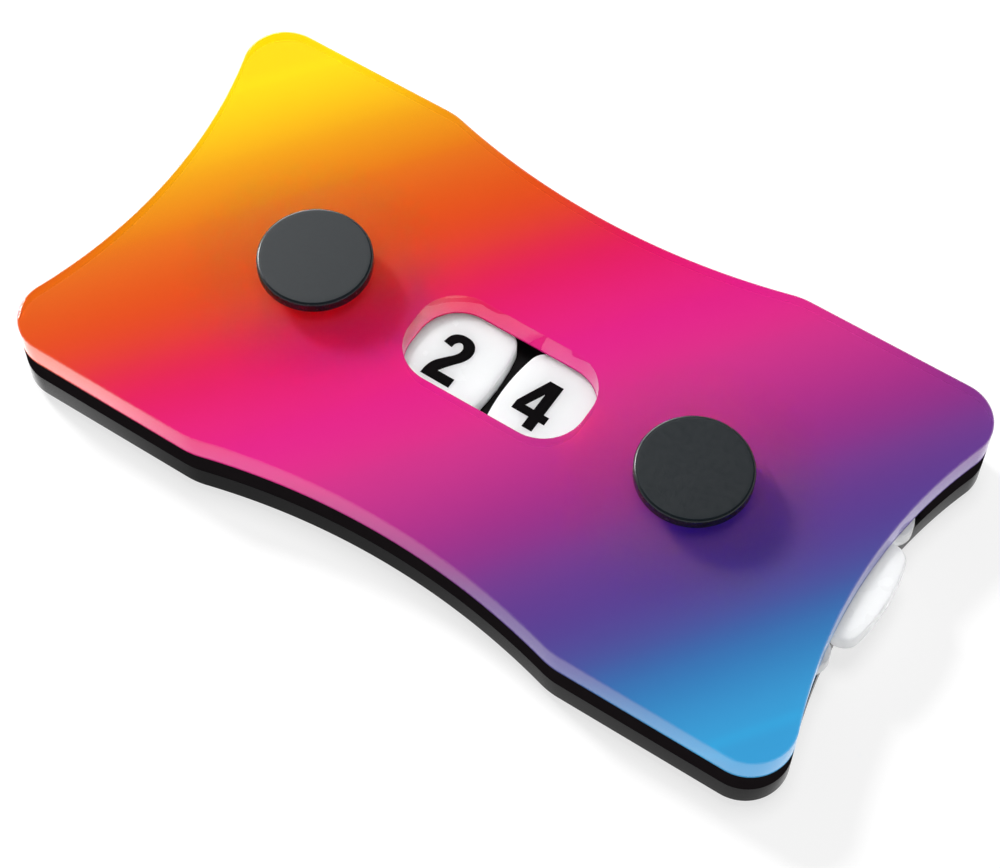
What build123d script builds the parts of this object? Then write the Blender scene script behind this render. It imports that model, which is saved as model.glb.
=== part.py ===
from build123d import *
import os
from math import sqrt

# A hand-turned life counter. Two white dials with ten lobes each lie between a clear cover and
# a black base. A window in the cover shows one numbered lobe of each dial, and the outermost
# lobe of each dial stands out of a short end of the counter, where a thumb turns it.
# Millimetres. +X runs along the counter to the units dial, +Y away from the player, +Z up.
# The origin is on the table, midway between the two axles.

# Number dials, which set the size of the whole counter
dial_radius = 21.5
dial_gap = 1.0  # between the rims of the two dials
dial_thickness = 2.0
dial_edge_round = 0.2
lobe_count = 10
notch_width = 0.6  # slot between two lobes
notch_depth = 2.7
shoulder_share = 0.7  # radius of the shoulders beside a notch, of its depth

# Plan of the plates, which every layer shares and which follows from the dials
side_wall = 1.1  # beside a dial's pocket, where a long side is straight
lobe_reach = 2.9  # how far a lobe stands out of the middle of a short end
end_hollow_depth = 5.25  # each short end is one hollow, from corner to corner
corner_radius = 4.4
side_hollow_share = 0.9364  # chord of the hollow in each long side, of the axles' spacing
side_depth_share = 0.0692  # depth of that hollow, of its chord
kink_radius = 8.0  # eases the kink where a straight run meets the side hollow

# Thickness of each layer
base_thickness = 3.0
tape_thickness = 0.1
spacer_thickness = 2.6
film_thickness = 0.2
cover_thickness = 3.0
plate_edge_round = 0.3  # polished outer edge of the cover and of the base

# Number window, through the cover and the film
window_length = 20.0
window_width = 10.6
window_corner_radius = 4.5
film_window_margin = 0.1  # the film's window is this much larger all round

# Spacers, which wall the dials in at the long sides
dial_rim_gap = 0.6  # from a dial's rim to the wall of its pocket
spacer_nose_width = 3.0  # blunt inner end of each spacer, between the two dials
spacer_nose_radius = 0.8
spacer_tip_radius = 0.3  # eases the tips at the short ends

# Screw posts, from above, and their screws, from below
head_diameter = 11.7
head_thickness = 1.2
head_edge_round = 0.3
barrel_diameter = 5.0
barrel_end_gap = 0.1  # the barrel ends this far short of the base's underside
post_bore_diameter = 3.1
post_bore_floor = 0.8  # material left between the bore and the head's underside
shank_diameter = 3.0
shank_length = 7.2
shank_point_chamfer = 0.4
slot_width = 1.4
slot_depth = 0.6
barrel_clearance = 0.1  # round the barrel, in every piece that it passes through

# Bushes and washers inside the counter
bush_diameter = 8.0
bush_chamfer = 0.2
dial_running_clearance = 0.08  # between a dial's bore and its bush, each side
washer_diameter = 15.0
washer_bore_clearance = 0.15  # between a washer and the bush, each side
friction_washer_thickness = 0.4
slip_washer_thickness = 0.3

slot_angles = {"tens": 25, "units": 70}  # degrees, where the screws came to rest
notch_step_share = 0.5  # a notch lies halfway between two lobes

cut_overrun = 1.0  # how far a cut runs past the edges that it opens
match_tolerance = 0.001  # how closely a corner lies on the wall that it belongs to

# Heights, from the table up
base_bottom = head_thickness
base_top = base_bottom + base_thickness
spacer_bottom = base_top + tape_thickness
spacer_top = spacer_bottom + spacer_thickness
film_bottom = spacer_top + tape_thickness
film_top = film_bottom + film_thickness
cover_top = film_top + cover_thickness
dial_bottom = base_top + friction_washer_thickness
dial_top = dial_bottom + dial_thickness

# Places and sizes that follow from those above
axle_x = dial_radius + dial_gap / 2
pocket_radius = dial_radius + dial_rim_gap
half_width = pocket_radius + side_wall
half_span = axle_x + dial_radius - lobe_reach + end_hollow_depth
half_side_hollow = side_hollow_share * axle_x
side_hollow_depth = side_depth_share * 2 * half_side_hollow
head_radius = head_diameter / 2
barrel_radius = barrel_diameter / 2
barrel_hole_radius = barrel_radius + barrel_clearance
bush_radius = bush_diameter / 2
washer_bore_radius = bush_radius + washer_bore_clearance
axle_places = {"tens": -axle_x, "units": axle_x}
side_places = {"front": -1, "rear": 1}


def arc_radius(half_chord, depth):
    """Radius of the arc that is this deep over twice this half chord."""
    return (half_chord**2 + depth**2) / (2 * depth)


def disc(radius, x=0, y=0):
    """A flat round face."""
    return Pos(x, y) * Circle(radius)


def slab(face, bottom, thickness):
    """The solid over a flat face, from the height bottom up."""
    return extrude(Pos(0, 0, bottom) * face, amount=thickness)


def ring(outer_radius, inner_radius, x, bottom, thickness):
    """A flat ring round an axle."""
    return slab(disc(outer_radius, x) - disc(inner_radius, x), bottom, thickness)


def lying_at(solid, height):
    """The edges of a solid that lie flat at one height."""
    return solid.edges().filter_by_position(Axis.Z, height, height)


def plate_plan():
    """The waisted plan: hollow long sides, hollow short ends and round corners."""
    side_radius = arc_radius(half_side_hollow, side_hollow_depth)
    end_radius = arc_radius(half_width, end_hollow_depth)
    side_centre = half_width - side_hollow_depth + side_radius
    end_centre = half_span - end_hollow_depth + end_radius
    plan = Rectangle(2 * half_span, 2 * half_width)
    for way in side_places.values():
        plan -= disc(side_radius, 0, way * side_centre)
        plan -= disc(end_radius, way * end_centre, 0)
    between = (half_span + half_side_hollow) / 2  # tells the corners from the kinks
    plan = fillet([v for v in plan.vertices() if abs(v.X) > between], corner_radius)
    kinks = plan.vertices().filter_by(lambda v: abs(v.X) < between)
    return fillet(kinks, kink_radius)


def window_plan(margin=0):
    """The number window, grown by a margin all round."""
    length = window_length + 2 * margin
    width = window_width + 2 * margin
    return RectangleRounded(length, width, window_corner_radius + margin)


def barrel_holes():
    """The two round holes that the axle barrels pass through."""
    return disc(barrel_hole_radius, -axle_x) + disc(barrel_hole_radius, axle_x)


def cover_plate():
    """Clear cover with the window, polished round along its top edges."""
    solid = slab(plate_plan() - window_plan(), film_top, cover_thickness)
    solid = fillet(lying_at(solid, cover_top), plate_edge_round)
    return solid - slab(barrel_holes(), film_top, cover_thickness)


def print_film():
    """Printed film, stuck to the underside of the whole cover."""
    plan = plate_plan() - window_plan(film_window_margin) - barrel_holes()
    return slab(plan, film_bottom, film_thickness)


def base_plate():
    """Black base, polished round along its bottom edge."""
    solid = slab(plate_plan(), base_bottom, base_thickness)
    solid = fillet(lying_at(solid, base_bottom), plate_edge_round)
    return solid - slab(barrel_holes(), base_bottom, base_thickness)


def on_pocket_wall(vertex):
    """Whether a corner of a plan lies on the wall of a dial's pocket."""
    off_axle = sqrt((abs(vertex.X) - axle_x) ** 2 + vertex.Y**2)
    return abs(off_axle - pocket_radius) < match_tolerance


def spacer_plan(way):
    """The middle layer on one long side, cut out round both dials.

    Its inner end would run to a cusp between the dials, so it stops where it is as wide as the
    nose. Its corners there, and its tips at the short ends, are eased.
    """
    nose_y = sqrt(pocket_radius**2 - (axle_x - spacer_nose_width / 2) ** 2)
    depth = half_width - nose_y
    strip = Pos(0, way * (nose_y + depth / 2)) * Rectangle(2 * half_span, depth)
    plan = plate_plan() - disc(pocket_radius, -axle_x) - disc(pocket_radius, axle_x)
    plan = plan & strip
    noses = [v for v in plan.vertices() if on_pocket_wall(v) and abs(v.X) < axle_x]
    plan = fillet(noses, spacer_nose_radius)
    tips = [v for v in plan.vertices() if on_pocket_wall(v) and abs(v.X) > axle_x]
    return fillet(tips, spacer_tip_radius)


def notch(angle):
    """The slot between two lobes, with a round floor, out past the dial's rim."""
    floor_radius = notch_width / 2
    floor_centre = dial_radius - notch_depth + floor_radius
    length = dial_radius + cut_overrun - floor_centre
    slot = Pos(floor_centre + length / 2, 0) * Rectangle(length, notch_width)
    return Rot(0, 0, angle) * (slot + disc(floor_radius, floor_centre))


def dial(x):
    """A number dial, whose lobes are tabs with round shoulders. One lobe faces the window."""
    pitch = 360 / lobe_count
    plan = Rot(0, 0, pitch / 2) * Circle(dial_radius)
    for step in range(lobe_count):
        plan -= notch((step + notch_step_share) * pitch)
    at_rim = dial_radius - notch_width / 2
    shoulders = [v for v in plan.vertices() if sqrt(v.X**2 + v.Y**2) > at_rim]
    plan = fillet(shoulders, shoulder_share * notch_depth)
    solid = slab(plan, dial_bottom, dial_thickness)
    rims = lying_at(solid, dial_top) + lying_at(solid, dial_bottom)
    solid = fillet(rims, dial_edge_round)
    bore = slab(disc(bush_radius + dial_running_clearance), dial_bottom, dial_thickness)
    return Pos(x, 0, 0) * (solid - bore)


def screw_post(x):
    """Smooth round head and hollow barrel, in one piece. The barrel is the dial's axle."""
    head_top = cover_top + head_thickness
    barrel_end = base_bottom + barrel_end_gap
    bore_radius = post_bore_diameter / 2
    bore_top = cover_top - post_bore_floor
    outline = Polyline(
        (0, head_top),
        (head_radius, head_top),
        (head_radius, cover_top),
        (barrel_radius, cover_top),
        (barrel_radius, barrel_end),
        (bore_radius, barrel_end),
        (bore_radius, bore_top),
        (0, bore_top),
        close=True,
    )
    section = make_face(outline)
    edge = [v for v in section.vertices() if v.X > barrel_radius and v.Y > cover_top]
    section = fillet(edge, head_edge_round)
    return Pos(x, 0, 0) * revolve(Plane.XZ * section, Axis.Z)


def post_screw(x, slot_angle):
    """Screw from below, with a round slotted head that the counter stands on."""
    shank_radius = shank_diameter / 2
    shank_top = head_thickness + shank_length
    outline = Polyline(
        (0, 0),
        (head_radius, 0),
        (head_radius, head_thickness),
        (shank_radius, head_thickness),
        (shank_radius, shank_top),
        (0, shank_top),
        close=True,
    )
    section = make_face(outline)
    edge = [v for v in section.vertices() if v.X > barrel_radius and v.Y < head_edge_round]
    section = fillet(edge, head_edge_round)
    point = [v for v in section.vertices() if v.X > 0 and v.Y > shank_top - shank_point_chamfer]
    section = chamfer(point, shank_point_chamfer)
    screw = revolve(Plane.XZ * section, Axis.Z)
    slot = Rot(0, 0, slot_angle) * Rectangle(head_diameter + cut_overrun, slot_width)
    return Pos(x, 0, 0) * (screw - slab(slot, 0, slot_depth))


def axle_bush(x):
    """Bush round a barrel, as tall as the space between base and film, with eased ends."""
    height = film_bottom - base_top
    solid = ring(bush_radius, barrel_hole_radius, x, base_top, height)
    rims = [e for e in solid.edges().filter_by(GeomType.CIRCLE) if e.radius > barrel_hole_radius]
    return chamfer(rims, bush_chamfer)


def friction_washer(x):
    """Felt ring under a dial."""
    return ring(washer_diameter / 2, washer_bore_radius, x, base_top, friction_washer_thickness)


def slip_washer(x):
    """Thin slippery ring over a dial."""
    return ring(washer_diameter / 2, washer_bore_radius, x, dial_top, slip_washer_thickness)


parts = {
    "cover_plate": cover_plate(),
    "print_film": print_film(),
    "base_plate": base_plate(),
}
for side, way in side_places.items():
    plan = spacer_plan(way)
    parts[f"{side}_upper_tape"] = slab(plan, spacer_top, tape_thickness)
    parts[f"{side}_spacer"] = slab(plan, spacer_bottom, spacer_thickness)
    parts[f"{side}_lower_tape"] = slab(plan, base_top, tape_thickness)
for digit, x in axle_places.items():
    parts[f"{digit}_dial"] = dial(x)
    parts[f"{digit}_screw_post"] = screw_post(x)
    parts[f"{digit}_post_screw"] = post_screw(x, slot_angles[digit])
    parts[f"{digit}_axle_bush"] = axle_bush(x)
    parts[f"{digit}_friction_washer"] = friction_washer(x)
    parts[f"{digit}_slip_washer"] = slip_washer(x)

os.makedirs("parts", exist_ok=True)
for name, solid in parts.items():
    export_step(solid, f"parts/{name}.step")
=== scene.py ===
# %% [markdown]
# # A hand-turned life counter
#
# The counter is a sandwich of flat sheets: a clear cover with a colourful film stuck under it, a
# black middle layer, and a glossy black base. Two white dials with ten lobes each turn inside it.
# A window shows one numeral of each, and two round heads hold the stack together on the axles.
#
# The measured model comes in first, as a fixed frame. Everything built here takes its place from
# it, in metres. The coarse plates, dials and heads are then rebuilt with finer edges, and the
# pieces that are good enough as they are only get a finish.

# %% Load the measured model
import math

import bmesh
import bpy
from mathutils import Matrix, Vector
from mathutils.geometry import tessellate_polygon


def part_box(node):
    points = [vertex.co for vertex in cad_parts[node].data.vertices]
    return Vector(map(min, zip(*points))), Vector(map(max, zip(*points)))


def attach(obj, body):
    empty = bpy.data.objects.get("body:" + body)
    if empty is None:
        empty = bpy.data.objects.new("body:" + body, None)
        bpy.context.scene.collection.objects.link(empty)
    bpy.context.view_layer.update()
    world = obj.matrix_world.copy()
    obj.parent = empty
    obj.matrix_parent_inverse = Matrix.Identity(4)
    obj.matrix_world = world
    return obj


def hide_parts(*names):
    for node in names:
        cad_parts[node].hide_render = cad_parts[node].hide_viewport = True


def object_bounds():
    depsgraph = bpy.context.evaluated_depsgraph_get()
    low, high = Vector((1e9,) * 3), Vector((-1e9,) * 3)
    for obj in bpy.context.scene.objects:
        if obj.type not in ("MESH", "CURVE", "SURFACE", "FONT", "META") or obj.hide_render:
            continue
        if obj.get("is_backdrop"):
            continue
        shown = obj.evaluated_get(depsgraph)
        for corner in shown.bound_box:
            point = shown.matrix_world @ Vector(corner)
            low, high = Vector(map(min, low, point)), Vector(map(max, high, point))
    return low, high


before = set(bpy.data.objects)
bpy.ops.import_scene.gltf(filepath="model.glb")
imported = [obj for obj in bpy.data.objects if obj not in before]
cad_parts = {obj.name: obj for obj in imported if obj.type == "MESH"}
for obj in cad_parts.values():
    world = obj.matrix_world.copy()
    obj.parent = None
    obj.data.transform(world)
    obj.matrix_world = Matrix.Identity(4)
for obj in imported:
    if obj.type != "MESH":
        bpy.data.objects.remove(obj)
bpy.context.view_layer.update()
scene = bpy.context.scene
mm = 0.001

# %% [markdown]
# ## Heights and axles
#
# The height of each sheet is read from the model's own boxes, so that the fine pieces lie exactly
# where the measured ones do. The plan's sizes can't be read from a box, so they are named here.

# %% Read where things are
def heights(node):
    """The heights of a measured piece's bottom and top."""
    return [corner.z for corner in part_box(node)]


cover_low, cover_high = heights("cover_plate")
film_low, film_high = heights("print_film")
base_low, base_high = heights("base_plate")
dial_low, dial_high = heights("units_dial")
post_low, head_high = heights("units_screw_post")
head_low = cover_high
half_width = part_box("cover_plate")[1].y
axles = {}
for wheel in ("tens", "units"):
    low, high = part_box(f"{wheel}_dial")
    axles[wheel] = (low.x + high.x) / 2
dial_radius = (high.x - low.x) / 2
print("axles at", {wheel: round(x / mm, 2) for wheel, x in axles.items()})
print("dial radius", round(dial_radius / mm, 2))

# %% [markdown]
# ## The waisted outline
#
# All the sheets share one plan. Each long side is straight near its ends and hollow in the
# middle, each short end is one long hollow, and the corners are round. It could be drawn by hand
# as a curve, but arcs that touch each other exactly give cleaner highlights, so each arc's
# centre is worked out. One quarter is enough: the rest is that quarter mirrored.

# %% Arcs and the plan of the sheets
end_depth, corner_radius, kink_radius = 5.25 * mm, 4.4 * mm, 8.0 * mm
lobe_shows = 2.9 * mm
hollow_to_axle, depth_to_length = 0.9364, 0.0692
plan_step, least_gap = 0.375 * mm, 0.002 * mm


def arc(centre, radius, start, end, step=plan_step):
    """Points on an arc from one angle to another, in radians, about one step apart."""
    count = max(6, math.ceil(abs(end - start) * radius / step))
    angles = [start + (end - start) * i / count for i in range(count + 1)]
    return [(centre[0] + radius * math.cos(a), centre[1] + radius * math.sin(a)) for a in angles]


def angle_to(centre, point):
    return math.atan2(point[1] - centre[1], point[0] - centre[0])


def hollow(half_chord, depth):
    """Radius of a hollow this deep over twice this half chord."""
    return (half_chord**2 + depth**2) / (2 * depth)


def without_repeats(points, closed=True):
    """An outline's points, each clear of the one before it."""
    kept = []
    for point in points:
        if not kept or math.dist(point, kept[-1]) > least_gap:
            kept.append(point)
    while closed and math.dist(kept[0], kept[-1]) <= least_gap:
        kept.pop()
    return kept


def plate_outline():
    """The plan of the sheets, counterclockwise."""
    half_hollow = hollow_to_axle * axles["units"]
    side_depth = depth_to_length * 2 * half_hollow
    half_span = axles["units"] + dial_radius - lobe_shows + end_depth
    side_radius = hollow(half_hollow, side_depth)
    end_radius = hollow(half_width, end_depth)
    side_centre = (0, half_width - side_depth + side_radius)
    end_centre = (half_span - end_depth + end_radius, 0)

    kink_y = half_width - kink_radius
    kink_x = math.sqrt((side_radius + kink_radius) ** 2 - (side_centre[1] - kink_y) ** 2)
    kink = (kink_x, kink_y)
    corner_y = half_width - corner_radius
    corner_x = end_centre[0] - math.sqrt((end_radius + corner_radius) ** 2 - corner_y**2)
    corner = (corner_x, corner_y)

    toward_kink = angle_to(side_centre, kink)
    toward_corner = angle_to(end_centre, corner)
    quarter = arc(side_centre, side_radius, -math.pi / 2, toward_kink)
    quarter += arc(kink, kink_radius, toward_kink + math.pi, math.pi / 2)
    quarter += arc(corner, corner_radius, math.pi / 2, toward_corner - math.pi)
    quarter += arc(end_centre, end_radius, toward_corner, math.pi)
    right = quarter + [(x, -y) for x, y in reversed(quarter)]
    whole = right + [(-x, y) for x, y in reversed(right)]
    return without_repeats(list(reversed(whole)))


plan = plate_outline()
print("plan points:", len(plan), "length in mm:", round(2 * max(x for x, y in plan) / mm, 2))

# %% [markdown]
# ## Eased edges
#
# The edge of a polished sheet is never quite sharp, and catches a thin line of light. Near such an
# edge the outline is moved inwards, point by point along its normal, which draws the quarter circle
# of the edge. Blender's Bevel modifier could round the edges too, but it makes poor triangles where
# an outline has hundreds of points, and those show in a clear material.

# %% Move an outline inwards, and list the steps of an edge
def normals_of(points):
    """Outward normals of a closed outline that runs counterclockwise."""
    found = []
    for i in range(len(points)):
        before, after = points[i - 1], points[(i + 1) % len(points)]
        along = Vector((after[0] - before[0], after[1] - before[1])).normalized()
        found.append((along.y, -along.x))
    return found


def moved_in(points, distance):
    """A closed outline, moved towards its own material."""
    pairs = zip(points, normals_of(points))
    return [(p[0] - n[0] * distance, p[1] - n[1] * distance) for p, n in pairs]


def easing(steps=6):
    """How far a quarter circle lies from its two tangents, as shares of its radius."""
    angles = [math.pi / 2 * i / steps for i in range(steps + 1)]
    return [(1 - math.sin(a), 1 - math.cos(a)) for a in angles]


def edge_profile(low, high, low_round=0, high_round=0, steps=6):
    """Pairs of distance inwards and height, from the bottom face to the top face."""
    profile = [(0, low)]
    if low_round:
        profile = [(low_round * s, low + low_round * c) for s, c in easing(steps)]
    if not high_round:
        return profile + [(0, high)]
    return profile + [(high_round * c, high - high_round * s) for s, c in easing(steps)]


eased = edge_profile(0, 1, high_round=0.5, steps=2)
print("a square edge, then one eased by half:", [(round(d, 2), round(z, 2)) for d, z in eased])

# %% [markdown]
# ## Sheets
#
# A sheet is its outline carried up through the steps of its edge, and its holes are carried up in
# the same way. A boolean could cut the holes too, but it leaves less even faces. The two flat faces
# are filled with triangles, whose edges are then flipped until none is a sliver: a sliver's normal
# isn't exact, and a reflection would break along it.

# %% Carry an outline up into a sheet
sharp_angle = math.radians(40)


def into_scene(name, data):
    """A new object in the scene that holds this mesh."""
    made = bpy.data.objects.new(name, data)
    scene.collection.objects.link(made)
    print(name, "faces:", len(data.polygons))
    return made


def plain_data(name, mesh):
    """A finished bmesh as an object's mesh data."""
    data = bpy.data.meshes.new(name)
    mesh.to_mesh(data)
    mesh.free()
    return data


def closed_shell(name, mesh):
    """An object whose faces point outwards. Smooth walls stay sharp at square edges."""
    bmesh.ops.recalc_face_normals(mesh, faces=mesh.faces)
    data = plain_data(name, mesh)
    data.set_sharp_from_angle(angle=sharp_angle)
    return into_scene(name, data)


def add_walls(mesh, rings, closed=True):
    """Smooth faces between rings of points. A ring of one point repeated gives triangles."""
    count = len(rings[0])
    for lower, upper in zip(rings, rings[1:]):
        for i in range(count if closed else count - 1):
            j = (i + 1) % count
            corners = dict.fromkeys((lower[i], lower[j], upper[j], upper[i]))
            mesh.faces.new(list(corners)).smooth = True


def sheet_mesh(name, outer, holes, profile, hole_profile):
    """A closed sheet with holes."""
    mesh = bmesh.new()
    low_rims, high_rims = [], []
    for points, steps in [(outer, profile)] + [(hole, hole_profile) for hole in holes]:
        rings = []
        for distance, z in steps:
            rings.append([mesh.verts.new((x, y, z)) for x, y in moved_in(points, distance)])
        add_walls(mesh, rings)
        low_rims.append(rings[0])
        high_rims.append(rings[-1])
    for rims in (low_rims, high_rims):
        corners = [v for rim in rims for v in rim]
        triangles = tessellate_polygon([[v.co for v in rim] for rim in rims])
        fill = [mesh.faces.new([corners[i] for i in triangle]) for triangle in triangles]
        flat = set(fill)
        inner = [e for e in mesh.edges if flat.issuperset(e.link_faces)]
        bmesh.ops.beautify_fill(mesh, faces=fill, edges=inner)
    return closed_shell(name, mesh)

# %% [markdown]
# ## The clear cover
#
# The cover is 3 mm of clear polished acrylic. The eased top edge catches a thin line of light, as
# the real one does, while the cut walls of the window and of the bottom edge stay square.

# %% Build the cover
edge_round, hole_round = 0.3 * mm, 0.05 * mm
hole_radius = 2.6 * mm


def circle(centre_x, radius, count=48):
    """A hole's outline, clockwise, so that its material lies outside it."""
    angles = [-2 * math.pi * i / count for i in range(count)]
    return [(centre_x + radius * math.cos(a), radius * math.sin(a)) for a in angles]


def window_outline(grow=0):
    """The number window, clockwise."""
    half_x, half_y, radius = 10 * mm + grow, 5.3 * mm + grow, 4.5 * mm + grow
    points = []
    for turn, sign_x, sign_y in ((0, 1, 1), (1, -1, 1), (2, -1, -1), (3, 1, -1)):
        centre = (sign_x * (half_x - radius), sign_y * (half_y - radius))
        start = turn * math.pi / 2
        points += arc(centre, radius, start, start + math.pi / 2)
    return without_repeats(list(reversed(points)))


barrel_holes = [circle(x, hole_radius) for x in axles.values()]
cover = sheet_mesh(
    "cover_sheet",
    plan,
    [window_outline()] + barrel_holes,
    edge_profile(cover_low, cover_high, high_round=edge_round),
    edge_profile(cover_low, cover_high, high_round=hole_round, steps=3),
)

# %% [markdown]
# ## The printed film
#
# The film is stuck to the cover without any air between them. Its top face is therefore set a
# hair inside the clear sheet, and its rim a hair outside: a ray that comes down through the cover
# then meets the ink itself, also at the very edge, and never a gap that would mirror it.

# %% Build the film
overlap, ink_depth = 0.01 * mm, 0.02 * mm
film_wall = edge_profile(film_low, film_high + ink_depth)
film_holes = [window_outline(-overlap)] + barrel_holes
film = sheet_mesh("film_print", moved_in(plan, -overlap), film_holes, film_wall, film_wall)

# %% [markdown]
# ## The black base
#
# The base has the same plan as the cover, and its eased edge is the lower one.

# %% Build the base
base = sheet_mesh(
    "base_sheet",
    plan,
    barrel_holes,
    edge_profile(base_low, base_high, low_round=edge_round),
    edge_profile(base_low, base_high),
)

# %% [markdown]
# ## The middle layer
#
# The middle layer is in two pieces, one along each long side. Its outer edge is the shared plan,
# and its inner edge follows the pockets that the dials turn in. Where two arcs meet, a small one
# eases the corner: its centre is where two circles cross, each one larger by that small radius.

# %% Draw the rear spacer
dial_gap, near_axis = 0.6 * mm, 0.3 * mm
pocket_radius = dial_radius + dial_gap
tip_radius, nose_radius, nose_half = 0.3 * mm, 0.8 * mm, 1.5 * mm


def crossing(first, first_radius, second, second_radius):
    """The upper point where two circles cross. Both centres lie on the X axis."""
    apart = second - first
    along = (apart**2 + first_radius**2 - second_radius**2) / (2 * apart)
    return (first + along, math.sqrt(first_radius**2 - along**2))


def spacer_outline():
    """The rear spacer, counterclockwise."""
    axle = (axles["units"], 0)
    inside = (axle[0] / 4, 5 * mm)
    end_x = min(x for x, y in plan if abs(y) < near_axis and x > 0)
    end_radius = hollow(half_width, end_depth)
    end_centre = (end_x + end_radius, 0)
    nose_y = math.sqrt(pocket_radius**2 - (axle[0] - nose_half) ** 2)
    nose_offset = math.sqrt((pocket_radius + nose_radius) ** 2 - (nose_y + nose_radius) ** 2)
    nose = (axle[0] - nose_offset, nose_y + nose_radius)
    tip = crossing(axle[0], pocket_radius + tip_radius, end_centre[0], end_radius + tip_radius)

    inner = arc(nose, nose_radius, -math.pi / 2, angle_to(nose, axle))
    inner += arc(axle, pocket_radius, angle_to(axle, nose), angle_to(axle, tip))
    inner += arc(tip, tip_radius, angle_to(tip, axle), angle_to(tip, end_centre))
    touch_y = end_centre[1] + end_radius * math.sin(angle_to(end_centre, tip))
    outer = [(x, y) for x, y in plan if y > touch_y and x > 0 or y > nose_y and x == 0]
    outer.sort(key=lambda p: -math.atan2(p[0] - inside[0], p[1] - inside[1]))
    right = inner + outer
    return without_repeats([(-x, y) for x, y in reversed(right)] + right)


rear_outline = spacer_outline()
print("spacer points:", len(rear_outline))

# %% [markdown]
# ## Spacers and tape
#
# Thin tape holds each spacer to the film above it and to the base below it. The tape has the
# spacer's outline, cut back a little so that its edge stays out of sight. The front pieces are the
# rear ones mirrored, so that the two sides match exactly. A mirror turns faces inside out, so they
# are flipped.

# %% Build the spacers and their tape
tape_inset = 0.05 * mm
layers = []
for side in ("rear", "front"):
    for part, inset in (("upper_tape", tape_inset), ("spacer", 0), ("lower_tape", tape_inset)):
        square = edge_profile(*heights(f"{side}_{part}"))
        piece = sheet_mesh(f"{side}_{part}_cut", moved_in(rear_outline, inset), [], square, square)
        if side == "front":
            piece.data.transform(Matrix.Scale(-1, 4, (0, 1, 0)))
            piece.data.flip_normals()
        layers.append((piece, f"{side}_{part}"))

# %% [markdown]
# ## The number dials
#
# A dial is one lobe repeated ten times round an axle, which is a rule, so Geometry Nodes make it.
# The script draws a single lobe as a slice of the disc: from the middle of one notch to the middle
# of the next. A node tree then copies that slice round the axle.

# %% Draw one lobe
lobes, bore_steps = 10, 12
notch_half, notch_depth = 0.3 * mm, 2.7 * mm
shoulder = 0.7 * notch_depth
bore_radius, lobe_round, lobe_step = 4.08 * mm, 0.2 * mm, 0.3 * mm


def half_lobe_outline():
    """From the middle of a notch's floor to the crest of the lobe, seen with the notch on +X."""
    floor_centre = (dial_radius - notch_depth + notch_half, 0)
    shoulder_y = notch_half + shoulder
    shoulder_x = math.sqrt((dial_radius - shoulder) ** 2 - shoulder_y**2)
    toward_rim = math.atan2(shoulder_y, shoulder_x)
    points = arc(floor_centre, notch_half, math.pi, math.pi / 2, lobe_step)
    points += arc((shoulder_x, shoulder_y), shoulder, -math.pi / 2, toward_rim, lobe_step)
    points += arc((0, 0), dial_radius, toward_rim, math.pi / lobes, lobe_step)
    return without_repeats(points, closed=False)


def turned(point, angle):
    c, s = math.cos(angle), math.sin(angle)
    return (point[0] * c - point[1] * s, point[0] * s + point[1] * c)


def lobe_slice(name, low, high):
    """One lobe from bore to rim, its middle on +X, open where it meets its neighbours."""
    half = [turned(p, -math.pi / lobes) for p in half_lobe_outline()]
    outline = half + [(x, -y) for x, y in reversed(half[:-1])]
    along = [(Vector(b) - Vector(a)).normalized() for a, b in zip(outline, outline[1:])]
    tangents = [(a + b).normalized() for a, b in zip(along, along[1:])]
    first, last = (Vector(turned((1, 0), side * math.pi / lobes)) for side in (-1, 1))
    outward = [first] + [Vector((t.y, -t.x)) for t in tangents] + [last]
    mesh = bmesh.new()
    rings = []
    for distance, z in edge_profile(low, high, lobe_round, lobe_round, steps=5):
        pairs = zip(outline, outward)
        spots = [(p[0] - n.x * distance, p[1] - n.y * distance, z) for p, n in pairs]
        rings.append([mesh.verts.new(spot) for spot in spots])
    add_walls(mesh, rings, closed=False)
    angles = [math.pi / lobes * (2 * i / bore_steps - 1) for i in range(bore_steps + 1)]
    bore = {}
    for z in (low, high):
        spots = [(bore_radius * math.cos(a), bore_radius * math.sin(a), z) for a in angles]
        bore[z] = [mesh.verts.new(spot) for spot in spots]
    for i in range(bore_steps):
        corners = (bore[low][i + 1], bore[low][i], bore[high][i], bore[high][i + 1])
        mesh.faces.new(corners).smooth = True
    mesh.faces.new(rings[-1] + bore[high][::-1])
    mesh.faces.new(rings[0][::-1] + bore[low])
    return bpy.data.objects.new(name, plain_data(name, mesh))


lobe = lobe_slice("one_lobe", dial_low, dial_high)
print("one lobe:", len(lobe.data.polygons), "faces")

# %% [markdown]
# ## Node trees from a script
#
# Shapes that repeat, finishes and the sky are all trees of nodes. They could be wired by hand in
# Blender's editors, but a script can be read and run again. Three helpers keep it short: one feeds
# an input with another node's output or with a fixed value, one adds a node and feeds it, and one
# gives back the result of a sum or a product.

# %% Helpers for node trees
def feed(socket, source):
    """Gives an input what it reads: another node's output, or a fixed value."""
    if isinstance(source, bpy.types.NodeSocket):
        source.id_data.links.new(source, socket)
    else:
        socket.default_value = source


def add_node(owner, kind, *sources, **values):
    """A new node. Plain arguments feed its inputs in order, named ones an input or a setting."""
    node = getattr(owner, "node_tree", owner).nodes.new(kind)
    for name, value in values.items():
        socket = name.replace("_", " ")
        if socket in node.inputs:
            feed(node.inputs[socket], value)
        else:
            setattr(node, name, value)
    for socket, source in zip(node.inputs, sources):
        feed(socket, source)
    return node


def calculated(owner, operation, *terms):
    """The result of a math node."""
    return add_node(owner, "ShaderNodeMath", *terms, operation=operation).outputs[0]


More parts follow.
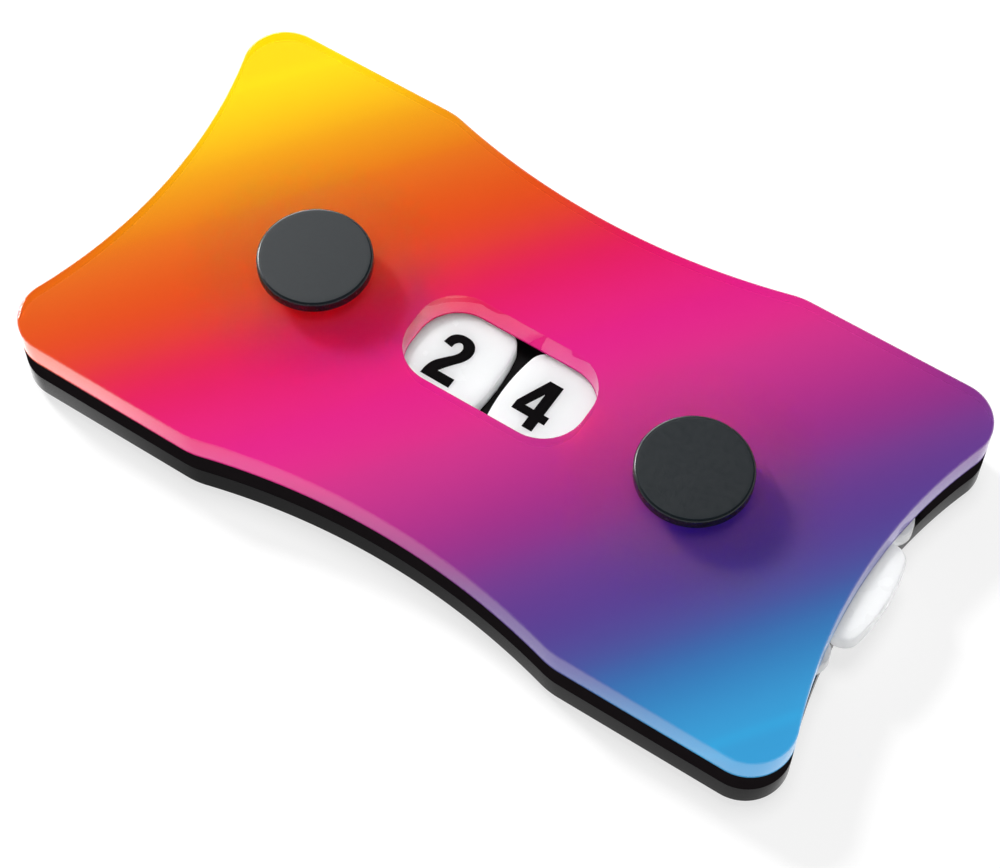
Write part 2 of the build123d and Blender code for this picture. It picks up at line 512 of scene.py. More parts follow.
def shape_tree(name, **inputs):
    """A Geometry Nodes tree with one geometry output and these inputs."""
    tree = bpy.data.node_groups.new(name, "GeometryNodeTree")
    new_socket = tree.interface.new_socket
    new_socket(name="Geometry", in_out="OUTPUT", socket_type="NodeSocketGeometry")
    for label, kind in inputs.items():
        new_socket(name=label, in_out="INPUT", socket_type=f"NodeSocket{kind}")
    return tree


def evaluated_mesh(holder):
    """The plain mesh that an object's modifiers or its curve come to. The object itself goes."""
    scene.collection.objects.link(holder)
    shown = holder.evaluated_get(bpy.context.evaluated_depsgraph_get())
    data = bpy.data.meshes.new_from_object(shown)
    bpy.data.objects.remove(holder)
    return data


def made_by(tree, name, settings, move=(0, 0, 0), turn=0):
    """What a tree makes with these settings, moved and turned to its place."""
    carrier = bpy.data.objects.new(f"{name}_carrier", bpy.data.meshes.new(f"{name}_carrier"))
    modifier = carrier.modifiers.new("nodes", "NODES")
    modifier.node_group = tree
    for socket in tree.interface.items_tree:
        if socket.name in settings:
            modifier[socket.identifier] = settings[socket.name]
    data = evaluated_mesh(carrier)
    data.name = name
    data.transform(Matrix.Translation(move) @ Matrix.Rotation(turn, 4, "Z"))
    return into_scene(name, data)


def finish_material(name):
    material = bpy.data.materials.new(name)
    material.use_nodes = True
    print("finish:", name)
    return material

# %% [markdown]
# ## A node tree that repeats something round an axle
#
# Ten points lie on top of each other at the axle. Each carries one copy of the lobe, turned by its
# own number times a tenth of a turn. The copies are joined where they touch, and the result gets
# its finish. The number of copies, the shape and the finish are inputs.

# %% Build the tree and the two dials
merge_distance = 0.004 * mm


def turned_copies(tree, count, angle, **instance):
    """Copies of an instance, all at the origin, each turned about Z by its own angle."""
    points = add_node(tree, "GeometryNodePoints", Count=count).outputs[0]
    about_z = add_node(tree, "ShaderNodeCombineXYZ", Z=angle).outputs[0]
    where = {"Points": points, "Rotation": about_z}
    return add_node(tree, "GeometryNodeInstanceOnPoints", **where, **instance).outputs[0]


def finished(tree, geometry, finish):
    """The tree, once its geometry has a finish and goes to the output."""
    paint = add_node(tree, "GeometryNodeSetMaterial", geometry, Material=finish)
    add_node(tree, "NodeGroupOutput", paint.outputs[0])
    return tree


def repeat_tree():
    tree = shape_tree("repeat_round_axle", Copies="Int", Shape="Object", Finish="Material")
    inputs = add_node(tree, "NodeGroupInput").outputs
    index = add_node(tree, "GeometryNodeInputIndex").outputs[0]
    turn = calculated(tree, "DIVIDE", math.tau, inputs["Copies"])
    angle = calculated(tree, "MULTIPLY", index, turn)
    shape = add_node(tree, "GeometryNodeObjectInfo", Object=inputs["Shape"])
    copies = turned_copies(tree, inputs["Copies"], angle, Instance=shape.outputs["Geometry"])
    real = add_node(tree, "GeometryNodeRealizeInstances", copies).outputs[0]
    whole = add_node(tree, "GeometryNodeMergeByDistance", real, Distance=merge_distance)
    return finished(tree, whole.outputs[0], inputs["Finish"])


white_acrylic = finish_material("white_acrylic")
dial_tree = repeat_tree()
dials = {}
for wheel, x in axles.items():
    settings = {"Copies": lobes, "Shape": lobe, "Finish": white_acrylic}
    dials[wheel] = made_by(dial_tree, f"{wheel}_lobed_dial", settings, move=(x, 0, 0))

# %% [markdown]
# ## The numerals
#
# The numerals are heavy and narrow, so that they read well through a small window. Blender's own
# font is too thin for them, so each is drawn as an outline on a grid that is 100 high. Two numbers
# are a point that the curve runs smoothly through, and a third one marks a sharp corner. A nine is
# a six that stands on its head.

# %% Draw the numerals
grid_width, grid_height = 60, 100
strokes = {
    "0": [
        [(30, 101.5), (50, 93), (59, 70), (60, 50), (59, 30), (50, 7), (30, -1.5), (10, 7),
         (1, 30), (0, 50), (1, 70), (10, 93)],
        [(30, 85), (38, 77), (40, 62), (40, 38), (38, 23), (30, 15), (22, 23), (20, 38), (20, 62),
         (22, 77)],
    ],
    "1": [
        [(46, 0, 1), (46, 101, 1), (32, 101, 1), (25, 89), (15, 82.5), (4, 80, 1), (4, 66, 1),
         (26, 70, 1), (26, 0, 1)],
    ],
    "2": [
        [(1.5, 0, 1), (59, 0, 1), (59, 19, 1), (25, 19, 1), (30, 27), (41, 42.5), (52.5, 58),
         (57.5, 74), (54, 89), (44, 98.5), (30, 101.5), (15, 98.5), (5, 89.5), (0.5, 73, 1),
         (18.5, 70, 1), (20.5, 80), (28.5, 85.5), (35, 81), (37, 73), (33.5, 63), (20, 47),
         (7.5, 31), (2.5, 16)],
    ],
    "3": [
        [(1, 72, 1), (5, 89), (15, 98.5), (30, 101.5), (45, 98), (55.5, 88), (57.5, 75),
         (53.5, 62), (43, 53, 1), (55, 45), (60, 29), (56, 11), (45, 1.5), (29, -1.5), (13, 2.5),
         (3, 12), (0, 29, 1), (19.5, 31, 1), (22, 20.5), (29.5, 15.5), (37.5, 20), (40, 30),
         (37, 41), (28, 45, 1), (22, 45, 1), (22, 60, 1), (28, 60, 1), (35.5, 64), (38, 73),
         (35.5, 82), (29, 85.5), (22.5, 81), (20.5, 70, 1)],
    ],
    "4": [
        [(34.5, 0, 1), (54.5, 0, 1), (54.5, 21.5, 1), (65.5, 21.5, 1), (65.5, 38, 1),
         (54.5, 38, 1), (54.5, 100, 1), (27.5, 100, 1), (0, 38.5, 1), (0, 21.5, 1),
         (34.5, 21.5, 1)],
        [(34.5, 73, 1), (34.5, 38, 1), (17.5, 38, 1)],
    ],
    "5": [
        [(5, 100, 1), (55.5, 100, 1), (55.5, 82, 1), (22, 82, 1), (20.5, 61, 1), (27, 65.5),
         (36, 66.5), (50, 61), (58.5, 48), (60, 33), (56, 13), (45, 2), (29, -1.5), (13, 2),
         (3.5, 12), (0, 27, 1), (19.5, 29.5, 1), (22, 20), (29.5, 15.5), (37.5, 20), (40, 33),
         (37.5, 45), (29.5, 50), (23.5, 48), (20, 43, 1), (1, 45, 1)],
    ],
    "6": [
        [(59, 74, 1), (55.5, 89), (46, 98.5), (31, 101.5), (15, 97.5), (4.5, 82), (0.5, 55),
         (1, 28), (8, 8.5), (19, 0.5), (31, -1.5), (47, 3), (57.5, 16), (60, 33), (57, 51),
         (47.5, 62), (35, 64.5), (26.5, 62), (20, 55, 1), (20.5, 68), (23.5, 80), (31, 85.5),
         (37.5, 82), (40, 72.5, 1)],
        [(30, 49), (37.5, 44), (40, 32.5), (38, 21), (30.5, 15.5), (23, 20), (20, 32), (22.5, 44)],
    ],
    "7": [
        [(1, 100, 1), (58, 100, 1), (58, 83.5, 1), (46.5, 64), (37.5, 38), (33, 0, 1),
         (11.5, 0, 1), (15.5, 30), (24.5, 58), (37, 81.5, 1), (1, 81.5, 1)],
    ],
    "8": [
        [(30, 101.5), (46, 98), (56.5, 87), (57.5, 73), (53, 60.5), (43.5, 53, 1), (55.5, 44),
         (60, 28), (56, 11), (46, 1.5), (30, -1.5), (14, 1.5), (4, 11), (0, 28), (4.5, 44),
         (16.5, 53, 1), (7, 60.5), (2.5, 73), (3.5, 87), (14, 98)],
        [(30, 86), (36.5, 82), (38.5, 73), (36.5, 64), (30, 60), (23.5, 64), (21.5, 73),
         (23.5, 82)],
        [(30, 45.5), (37.5, 41), (40, 30), (37.5, 19), (30, 14.5), (22.5, 19), (20, 30),
         (22.5, 41)],
    ],
}
strokes["9"] = [
    [(grid_width - x, grid_height - y, *corner) for x, y, *corner in outline]
    for outline in strokes["6"]
]
print("outlines of each numeral:", {key: len(outlines) for key, outlines in strokes.items()})

# %% [markdown]
# ## The print
#
# On the real dials the numerals are a film of ink. A picture of them could be laid on the dial, but
# a curve stays sharp from near. A 2D curve fills its outlines and leaves the inner ones open. It
# gets a hair of thickness, so that each numeral is a closed shell that lies on the dial.

# %% Turn the outlines into thin prints
numeral_height, ink_thickness = 5.85 * mm, 0.015 * mm


def numeral(character):
    """A thin closed print of one numeral, its middle on the origin, its face up."""
    curve = bpy.data.curves.new(f"numeral_{character}", "CURVE")
    curve.dimensions = "2D"
    curve.fill_mode = "BOTH"
    curve.resolution_u = 8
    curve.extrude = ink_thickness / 2
    scale = numeral_height / grid_height
    across = [point[0] for point in strokes[character][0]]
    middle = (max(across) + min(across)) / 2
    for outline in strokes[character]:
        spline = curve.splines.new("BEZIER")
        spline.bezier_points.add(len(outline) - 1)
        spline.use_cyclic_u = True
        for point, (x, y, *corner) in zip(spline.bezier_points, outline):
            point.co = ((x - middle) * scale, (y - grid_height / 2) * scale, 0)
            kind = "VECTOR" if corner else "AUTO"
            point.handle_left_type = point.handle_right_type = kind
    data = evaluated_mesh(bpy.data.objects.new(f"curve_{character}", curve))
    return bpy.data.objects.new(f"numeral_{character}", data)


numerals = bpy.data.collections.new("numerals")
for character in sorted(strokes):
    numerals.objects.link(numeral(character))

# %% [markdown]
# ## A node tree that prints the numerals round a dial
#
# This tree picks the numerals one by one from a collection and sets each on its own lobe, at one
# distance from the axle, upright when its lobe stands at the window. The two dials run opposite
# ways round, so that a thumb that pulls towards the player counts up on both. The print isn't
# quite true to the dials, so each ring has its own radius and sits a little to the left.

# %% Build the tree and the two rings of numerals
def numeral_tree():
    tree = shape_tree(
        "numerals_round_axle",
        Numerals="Collection",
        Centre="Vector",
        Step="Float",
        Shown="Int",
        Finish="Material",
    )
    inputs = add_node(tree, "NodeGroupInput").outputs
    index = add_node(tree, "GeometryNodeInputIndex").outputs[0]
    past_shown = calculated(tree, "SUBTRACT", index, inputs["Shown"])
    angle = calculated(tree, "MULTIPLY", past_shown, inputs["Step"])
    one_by_one = {"Separate_Children": True, "Reset_Children": True}
    source = add_node(tree, "GeometryNodeCollectionInfo", inputs["Numerals"], **one_by_one)
    pick = {"Instance": source.outputs[0], "Pick_Instance": True, "Instance_Index": index}
    copies = turned_copies(tree, len(strokes), angle, **pick)
    about_axle = {"rotation_type": "Z_AXIS", "Vector": inputs["Centre"], "Angle": angle}
    spot = add_node(tree, "ShaderNodeVectorRotate", **about_axle).outputs[0]
    ring = add_node(tree, "GeometryNodeSetPosition", copies, Position=spot).outputs[0]
    real = add_node(tree, "GeometryNodeRealizeInstances", ring).outputs[0]
    return finished(tree, real, inputs["Finish"])


black_ink = finish_material("black_ink")
ring_tree = numeral_tree()
ring_turn = math.radians(-0.5)
rings = (("tens", 1, 2, 16.4 * mm, -0.17 * mm), ("units", -1, 4, 17.0 * mm, -0.77 * mm))
printed = {}
for wheel, toward_window, shown, ring_radius, ring_shift in rings:
    settings = {
        "Numerals": numerals,
        "Centre": (toward_window * ring_radius, 0, 0),
        "Step": -toward_window * math.tau / lobes,
        "Shown": shown,
        "Finish": black_ink,
    }
    spot = (axles[wheel] + ring_shift, 0, dial_high + ink_thickness / 2)
    printed[wheel] = made_by(ring_tree, f"{wheel}_numerals", settings, spot, ring_turn)

# %% [markdown]
# ## The round heads
#
# Each head and its barrel are one turned piece. A profile spun about the axle gives it, with far
# more segments than the measured model has, because the rim's highlight shows every facet.

# %% Spin the heads
head_radius, barrel_radius, bore_of_post = 5.85 * mm, 2.5 * mm, 1.55 * mm
bore_end = cover_high - 0.8 * mm
rim_round, rim_inset, low_ease = 0.3 * mm, 0.6 * mm, 0.02 * mm


def spun(name, profile, x, segments=128):
    """A profile of radius and height, turned about an axle into a closed shell."""
    mesh = bmesh.new()
    angles = [math.tau * i / segments for i in range(segments)]
    rings = []
    for radius, z in profile:
        if radius == 0:
            rings.append([mesh.verts.new((x, 0, z))] * segments)
        else:
            spots = [(x + radius * math.cos(a), radius * math.sin(a), z) for a in angles]
            rings.append([mesh.verts.new(spot) for spot in spots])
    add_walls(mesh, rings)
    return closed_shell(name, mesh)


rim = [(head_radius - rim_round * s, head_high - rim_round * c) for s, c in easing()]
post_profile = [(0, head_high), (head_radius - rim_inset, head_high)] + rim + [
    (head_radius, head_low + low_ease),
    (head_radius - low_ease, head_low),
    (barrel_radius, head_low),
    (barrel_radius, post_low),
    (bore_of_post, post_low),
    (bore_of_post, bore_end),
    (0, bore_end),
]
posts = {wheel: spun(f"{wheel}_turned_post", post_profile, x) for wheel, x in axles.items()}

# %% [markdown]
# ## Finishes
#
# Every finish is a small node tree on Principled BSDF. Fixed values go straight onto the shader's
# own sockets. Nothing real is quite even, so most finishes get a colour and a roughness that
# wander a little, each on noise with a scale of its own.

# %% Helpers for the finishes
def shader_of(material, **values):
    """The material's Principled shader, with its inputs fed."""
    shader = material.node_tree.nodes["Principled BSDF"]
    for name, value in values.items():
        feed(shader.inputs[name.replace("_", " ")], value)
    return shader


def show_mixed(material, factor, first, second):
    """Puts a mix of two shaders on the material's output."""
    pair = (first.outputs[0], second.outputs[0])
    mix = add_node(material, "ShaderNodeMixShader", factor, *pair)
    feed(material.node_tree.nodes["Material Output"].inputs["Surface"], mix.outputs[0])


def noise(material, scale, detail=2.0, stretch=None):
    """Noise on the piece's own coordinates, in metres."""
    place = add_node(material, "ShaderNodeTexCoord").outputs["Object"]
    if stretch:
        place = add_node(material, "ShaderNodeMapping", place, Scale=stretch).outputs[0]
    texture = add_node(material, "ShaderNodeTexNoise", place, Scale=scale, Detail=detail)
    return texture.outputs["Fac"]


def spread(material, source, low, high):
    """Maps a texture's middle range onto low to high."""
    limits = {"From_Min": 0.3, "From_Max": 0.7, "To_Min": low, "To_Max": high}
    return add_node(material, "ShaderNodeMapRange", source, **limits).outputs[0]


def smooth_step(owner, source, start, end):
    """A smooth change between two pairs of place and value."""
    kind = {"interpolation_type": "SMOOTHSTEP"}
    limits = {"From_Min": start[0], "From_Max": end[0], "To_Min": start[1], "To_Max": end[1]}
    return add_node(owner, "ShaderNodeMapRange", source, **kind, **limits).outputs[0]


def bumps(material, height, distance, strength):
    """Fine relief on a finish, from a texture."""
    relief = {"Height": height, "Distance": distance, "Strength": strength}
    shader_of(material, Normal=add_node(material, "ShaderNodeBump", **relief).outputs[0])


def tint(material, source, dark, light):
    """A colour that wanders a little between two close ones."""
    mix = add_node(material, "ShaderNodeMix", data_type="RGBA", Factor=source)
    first, second = [socket for socket in mix.inputs if socket.type == "RGBA"]
    feed(first, (*dark, 1))
    feed(second, (*light, 1))
    return [socket for socket in mix.outputs if socket.type == "RGBA"][0]


def uneven(material, colours, colour_scale, roughness, roughness_scale, **values):
    """A finish whose colour and roughness wander. It gives back its shader."""
    print(material.name, "roughness:", roughness)
    return shader_of(
        material,
        Base_Color=tint(material, noise(material, colour_scale), *colours),
        Roughness=spread(material, noise(material, roughness_scale, detail=4), *roughness),
        **values,
    )

# %% [markdown]
# ## The film's colours
#
# The print is a plain blend that runs straight across the counter, at a slant: yellow in the back
# left corner, then orange, red, magenta and violet, to a light blue in the front right corner. One
# coordinate along the slant drives a colour ramp, with the inks named below. An image could carry
# the blend too, but a ramp has no pixels and each ink can be changed by itself.

# %% Blend the inks
blend_length, blend_slope = 0.110, 0.737
inks = [
    ("yellow", -52, (255, 216, 0)),
    ("amber", -43, (243, 172, 0)),
    ("orange", -34, (228, 114, 4)),
    ("scarlet", -18, (223, 48, 53)),
    ("magenta", -3, (227, 25, 127)),
    ("rose", 7, (210, 45, 136)),
    ("plum", 24, (130, 52, 139)),
    ("indigo", 40, (70, 88, 161)),
    ("sky blue", 53, (55, 159, 217)),
]


def srgb(red, green, blue):
    """Linear values of a colour that is given as it looks on a screen."""
    def linear(value):
        value /= 255
        return value / 12.92 if value <= 0.04045 else ((value + 0.055) / 1.055) ** 2.4
    return (linear(red), linear(green), linear(blue))


ink = finish_material("printed_film")
place = add_node(ink, "ShaderNodeTexCoord").outputs["Object"]
slant = (1 / blend_length, -blend_slope / blend_length, 0)
along_slant = add_node(ink, "ShaderNodeVectorMath", place, slant, operation="DOT_PRODUCT")
along = calculated(ink, "ADD", along_slant.outputs["Value"], 0.5)
blend = add_node(ink, "ShaderNodeValToRGB", along)
blend.color_ramp.interpolation = "CARDINAL"
stops = blend.color_ramp.elements
while len(stops) < len(inks):
    stops.new(0.5)
for stop, (name, at, colour) in zip(stops, inks):
    stop.position = 0.5 + at * mm / blend_length
    stop.color = (*srgb(*colour), 1)
print("inks:", ", ".join(name for name, at, colour in inks))

# %% [markdown]
# ## Light inside the film
#
# Ink and film let some light creep sideways, which shows only in the shade of the heads: red light
# creeps furthest on the warm side, and blue light on the cold side. A lamp in that colour would
# tint everything else as well, so the shader's own subsurface carries it. It fades out away from
# the heads, because at the sheet's own edge it would lose light and darken the outline.

# %% Let light creep near the heads
bleed_near, bleed_far = 10 * mm, 15 * mm
red_reach, blue_reach = (0.45, (1.0, 0.02, 0.03, 1)), (0.6, (0.06, 0.04, 1.0, 1))

head_place = (axles["units"], 0, film_low)
folded = add_node(ink, "ShaderNodeVectorMath", place, operation="ABSOLUTE").outputs[0]
from_head = add_node(ink, "ShaderNodeVectorMath", folded, head_place, operation="DISTANCE")
bleed = smooth_step(ink, from_head.outputs["Value"], (bleed_near, 1.0), (bleed_far, 0.0))
reach = add_node(ink, "ShaderNodeValToRGB", along)
for stop, (at, colour) in zip(reach.color_ramp.elements, (red_reach, blue_reach)):
    stop.color = colour
    stop.position = at
shader = shader_of(
    ink,
    Base_Color=blend.outputs["Color"],
    Roughness=0.5,
    Specular_IOR_Level=0.12,
    Subsurface_Weight=bleed,
    Subsurface_Radius=reach.outputs["Color"],
    Subsurface_Scale=30 * mm,
)
shader.subsurface_method = "BURLEY"
bumps(ink, noise(ink, 3000), distance=0.004 * mm, strength=0.2)
film.data.materials.append(ink)
print("light creeps up to", round(bleed_far / mm), "mm from the middle of a head")

# %% [markdown]
# ## Clear acrylic
#
# Clear acrylic bends light by 1.49. Lamps can't shine through a bending surface in a path tracer
# without a great deal of noise, so shadow rays and the soft bounce light pass straight through
# it, and only what the eye sees is bent. A trace of uneven polish breaks up the reflections.

# %% Make the cover clear
clear = finish_material("clear_acrylic")
polish = spread(clear, noise(clear, 120), 0.0, 0.05)
white = (1, 1, 1, 1)
shader = shader_of(clear, IOR=1.49, Transmission_Weight=1.0, Base_Color=white, Roughness=polish)
rays = add_node(clear, "ShaderNodeLightPath").outputs
soft_light = calculated(clear, "MAXIMUM", rays["Is Shadow Ray"], rays["Is Diffuse Ray"])
show_mixed(clear, soft_light, shader, add_node(clear, "ShaderNodeBsdfTransparent"))
cover.data.materials.append(clear)

# %% [markdown]
# ## Black acrylic, the matt layer and the tape
#
# The base is polished black sheet: very little colour of its own, and faint reflections. The
# middle layer and the tape drink the light.

# %% Finish the black layers
gloss_black = finish_material("black_acrylic")
uneven(
    gloss_black,
    colours=((0.018, 0.018, 0.018), (0.024, 0.023, 0.024)),
    colour_scale=60,
    roughness=(0.16, 0.26),
    roughness_scale=150,
    Specular_IOR_Level=0.02,
)
base.data.materials.append(gloss_black)

matt_black = finish_material("matt_black_acrylic")
uneven(
    matt_black,
    colours=((0.010, 0.008, 0.009), (0.014, 0.011, 0.012)),
    colour_scale=400,
    roughness=(0.55, 0.7),
    roughness_scale=900,
    Specular_IOR_Level=0.0,
)

tape = finish_material("black_tape")
uneven(
    tape,
    colours=((0.003, 0.003, 0.003), (0.007, 0.007, 0.007)),
    colour_scale=700,
    roughness=(0.6, 0.8),
    roughness_scale=1500,
    Specular_IOR_Level=0.0,
)

# %% [markdown]
# ## White acrylic and black ink
#
# The dials are glossy white, very slightly cool. Light travels a few millimetres inside the sheet
# before it leaves again, which softens the shade under the window's edge. The ink is a thin dense
# black with less gloss.

# %% Finish the dials
shader = uneven(
    white_acrylic,
    colours=((0.955, 0.965, 0.975), (0.97, 0.98, 0.99)),
    colour_scale=90,
    roughness=(0.2, 0.3),
    roughness_scale=200,
    Subsurface_Weight=0.8,
    Subsurface_Radius=(1, 1, 1),
    Subsurface_Scale=6 * mm,
)
shader.subsurface_method = "BURLEY"
uneven(
    black_ink,
    colours=((0.003, 0.003, 0.003), (0.006, 0.005, 0.006)),
    colour_scale=500,
    roughness=(0.4, 0.55),
    roughness_scale=1500,
    Specular_IOR_Level=0.01,
)

# %% [markdown]
# ## Moulded black plastic
#
# The heads are moulded, with a fine even grain that spreads the reflections over the whole face.
# Fingers have rubbed the rims smoother than the faces, so each rim gets a second, glossier finish
# and catches a thin bright line.

# %% Finish the heads and the screws
plastic_black = ((0.004, 0.008, 0.011), (0.006, 0.010, 0.013))
edge_margin = 0.05 * mm

moulded = finish_material("moulded_black_plastic")
uneven(moulded, plastic_black, 300, (0.46, 0.56), 2500, Specular_IOR_Level=0.45)
bumps(moulded, noise(moulded, 9000, detail=3), distance=0.004 * mm, strength=0.3)
rubbed = finish_material("rubbed_black_rim")
uneven(rubbed, plastic_black, 300, (0.2, 0.28), 2500)
for wheel, post in posts.items():
    post.data.materials.append(moulded)
    post.data.materials.append(rubbed)
    for face in post.data.polygons:
        away = math.hypot(face.center.x - axles[wheel], face.center.y)
        far_out = away > head_radius - rim_round - edge_margin
        if far_out and face.center.z > head_low + edge_margin:
            face.material_index = 1

# %% [markdown]
# ## Nylon and felt
#
# The bushes that the dials turn on and the washers above them are plain nylon, off-white and a
# little waxy. The washers under the dials are pressed felt, which holds the number that is set.
# Nothing of them shows from outside, so two simple finishes are enough. The felt's noise is
# squashed in height, because pressed fibres lie flat.

# %% Finish the bushes and the washers
nylon = finish_material("natural_nylon")
uneven(nylon, ((0.72, 0.70, 0.63), (0.78, 0.76, 0.69)), 600, (0.4, 0.55), 1500)

felt = finish_material("pressed_felt")
fibres = noise(felt, 2600, detail=6, stretch=(1, 1, 0.4))
grey = tint(felt, fibres, (0.05, 0.05, 0.052), (0.12, 0.12, 0.12))
shader_of(felt, Base_Color=grey, Roughness=spread(felt, fibres, 0.85, 0.98), Sheen_Weight=0.3)
bumps(felt, fibres, distance=0.05 * mm, strength=0.6)

# %% [markdown]
# ## Hand the pieces over to the frame
#
# Each new piece rides on the body that it belongs to, and the measured piece that it stands for is
# hidden. The measured pieces that stay only get their finish.

# %% Join everything to its body
def hand_over(piece, body, slot, *nodes):
    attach(piece, body)
    if nodes:
        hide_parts(*nodes)


hand_over(cover, "housing", "clear_acrylic", "cover_plate")
hand_over(film, "housing", "print", "print_film")
hand_over(base, "housing", "black_acrylic", "base_plate")
for piece, node in layers:
    hand_over(piece, "housing", "tape" if "tape" in node else "black_spacer", node)
    piece.data.materials.append(tape if "tape" in node else matt_black)
for wheel in axles:
    hand_over(dials[wheel], f"{wheel}_wheel", "white_acrylic", f"{wheel}_dial")
    hand_over(printed[wheel], f"{wheel}_wheel", "black_plastic")
    hand_over(posts[wheel], "housing", "black_plastic", f"{wheel}_screw_post")

kept = {}
for wheel in axles:
    kept[f"{wheel}_post_screw"] = moulded
    kept[f"{wheel}_axle_bush"] = nylon
    kept[f"{wheel}_slip_washer"] = nylon
    kept[f"{wheel}_friction_washer"] = felt
for name, material in kept.items():
    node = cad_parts[name]
    node.data.materials.clear()
    node.data.materials.append(material)
print("pieces kept from the model:", len(kept))

# %% [markdown]
# ## The table
#
# The counter lies on a plain white table top. One large square is enough, because its edges are
# far out of view.

# %% Lay the floor
table_half = 3.0
table_mesh = bmesh.new()
for x, y in ((-1, -1), (1, -1), (1, 1), (-1, 1)):
    table_mesh.verts.new((x * table_half, y * table_half, 0))
table_mesh.faces.new(table_mesh.verts)
floor = into_scene("table_top", plain_data("table_top", table_mesh))
table_white = finish_material("table_white")
floor.data.materials.append(table_white)
floor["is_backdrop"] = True

# %% [markdown]
# ## How bright the table looks, and to whom
#
# The camera sees the table as pure white, and it still takes the counter's shadow: a grey that
# catches shadows is added to a glow that doesn't. Bounced light sees it nearly white too.
# Reflections, and views through the clear cover, see a glow painted on it: painted light at both
# ends and painted shade between them, where the counter would shade a real table. It vanishes from
# below, so that the underside can be looked at. A real table needs none of this, but it would take
# far more lamps.

# %% Give the table its glow
glow_to_camera, glow_to_bounces = 0.72, 0.6
table_grey = (0.36, 0.36, 0.36, 1)
# Painted light and shade of the reflected glow: bright at the left and right ends, dim between
# them.
left_bright, left_dim = (-39 * mm, 1.8), (-20 * mm, 0.28)
right_dim, right_bright = (0, 0), (20 * mm, 0.5)

rays = add_node(table_white, "ShaderNodeLightPath").outputs
place = add_node(table_white, "ShaderNodeTexCoord").outputs["Object"]
across = add_node(table_white, "ShaderNodeSeparateXYZ", place).outputs["X"]
left_end = smooth_step(table_white, across, left_bright, left_dim)
right_end = smooth_step(table_white, across, right_dim, right_bright)
ends = calculated(table_white, "ADD", left_end, right_end)
sharp = calculated(table_white, "MAXIMUM", rays["Is Glossy Ray"], rays["Is Transmission Ray"])
# The glow that reflections see: painted light at the ends, painted shade between.
mirrored = calculated(table_white, "MULTIPLY", sharp, ends)
direct = calculated(table_white, "MULTIPLY", rays["Is Camera Ray"], glow_to_camera)
soft = calculated(table_white, "MULTIPLY_ADD", rays["Is Diffuse Ray"], glow_to_bounces, direct)
strength = calculated(table_white, "ADD", mirrored, soft)
glow = add_node(table_white, "ShaderNodeEmission", Color=white, Strength=strength)
shader = shader_of(table_white, Base_Color=table_grey, Roughness=0.9, Specular_IOR_Level=0.0)
both = add_node(table_white, "ShaderNodeAddShader", shader.outputs[0], glow.outputs[0])
below = add_node(table_white, "ShaderNodeNewGeometry").outputs["Backfacing"]
gone = add_node(table_white, "ShaderNodeBsdfTransparent")
show_mixed(table_white, below, both, gone)
print("floor nodes:", len(table_white.node_tree.nodes))

# %% [markdown]
# ## Lamps
#
# A wide soft panel overhead and a smaller one low on the left give about as much light each, and
# the smaller one casts the heads' soft shades. The overhead panel isn't seen in reflections, so it
# doesn't lay a white film over the print. A card at the back left is seen in reflections only, and
# draws the bright line on the heads' rims.

# %% Set the lamps
def panel(name, place, aim, size, energy):
    """A round soft lamp that looks at a point."""
    lamp = bpy.data.lights.new(name, "AREA")
    lamp.shape = "DISK"
    lamp.size = size
    lamp.energy = energy
    holder = bpy.data.objects.new(name, lamp)
    holder.location = place
    holder.rotation_euler = (Vector(place) - Vector(aim)).to_track_quat("Z", "Y").to_euler()
    scene.collection.objects.link(holder)
    print(name, "watts:", energy)
    return holder


overhead = panel("overhead_panel", (0.0, 0.05, 0.9), aim=(0, 0, 0), size=0.35, energy=3.05)
overhead.visible_glossy = False
overhead.visible_transmission = False
key = panel("left_panel", (-0.697, 0.163, 0.568), aim=(0, 0, 0.007), size=0.204, energy=7.2)
key.visible_transmission = False
card = panel("rim_card", (-0.31, 0.29, 0.19), aim=(0, 0, 0.01), size=0.24, energy=1.0)
card.visible_diffuse = False
card.visible_transmission = False

# %% [markdown]
# ## The sky
#
# The sky is white for the camera and near the horizon, and dim higher up, so that glossy black
# stays black from above. A photographed studio could stand in for it, but a few plain values are
# easier to follow and to change.

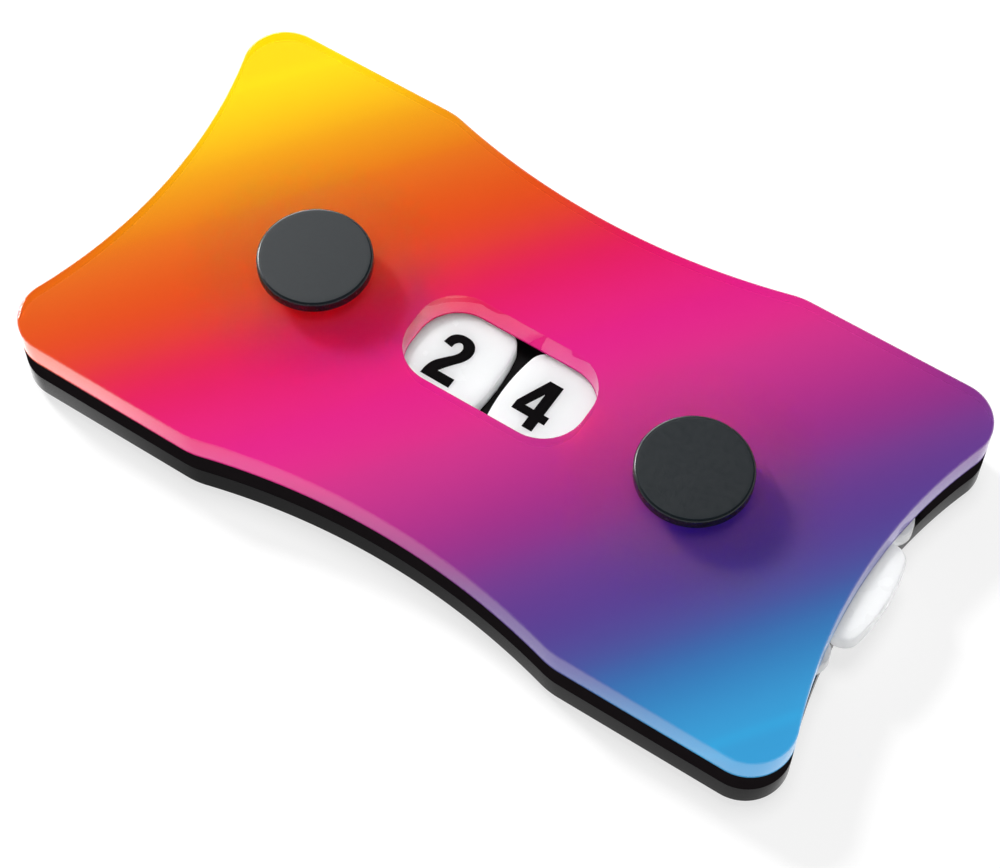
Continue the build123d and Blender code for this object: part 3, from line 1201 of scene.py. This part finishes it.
# %% Light the sky
bounced_level, high_level = 0.6, 0.06
dim_from, dim_to = 0.3, 0.65

world = bpy.data.worlds.new("studio")
scene.world = world
world.use_nodes = True
rays = add_node(world, "ShaderNodeLightPath").outputs
direction = add_node(world, "ShaderNodeTexCoord").outputs["Generated"]
upwards = add_node(world, "ShaderNodeSeparateXYZ", direction).outputs["Z"]
dimmed = smooth_step(world, upwards, (dim_from, 1.0), (dim_to, high_level))
plain_sky = calculated(world, "MAXIMUM", rays["Is Camera Ray"], dimmed)
sharp = calculated(world, "MAXIMUM", rays["Is Glossy Ray"], rays["Is Transmission Ray"])
looked_at = calculated(world, "MAXIMUM", sharp, rays["Is Camera Ray"])
level = add_node(world, "ShaderNodeMapRange", looked_at, To_Min=bounced_level, To_Max=1.0)
background = world.node_tree.nodes["Background"]
feed(background.inputs["Color"], white)
feed(background.inputs["Strength"], calculated(world, "MULTIPLY", level.outputs[0], plain_sky))
print("sky nodes:", len(world.node_tree.nodes))

# %% [markdown]
# ## Camera
#
# The camera looks down steeply from the front right, close enough for the far end to shrink. Its
# place and lens were worked out from the counter's outline in the photograph.

# %% Set the camera
camera_place = Vector((0.07002, -0.10815, 0.21767))
camera_aim = Vector((0.004212, -0.006447, 0.0102))
camera_roll = math.radians(0.331)

camera_data = bpy.data.cameras.new("camera")
camera_data.sensor_fit = "HORIZONTAL"
camera_data.sensor_width = 36.0
camera_data.lens = 90.28
camera_data.clip_start = 0.01
camera = bpy.data.objects.new("camera", camera_data)
scene.collection.objects.link(camera)
turn = (camera_place - camera_aim).to_track_quat("Z", "Y").to_matrix().to_4x4()
roll = Matrix.Rotation(camera_roll, 4, "Z")
camera.matrix_world = Matrix.Translation(camera_place) @ turn @ roll
scene.camera = camera
scene.view_settings.view_transform = "Standard"
print("camera distance in mm:", round((camera_place - camera_aim).length / mm))

# %% [markdown]
# ## Measure and finish
#
# The size of everything that is shown, without the table, is printed. The finished pieces may
# not be larger than the measured model.

# %% Print the size and close
low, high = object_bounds()
print("size in mm:", [round(x / mm, 3) for x in high - low])
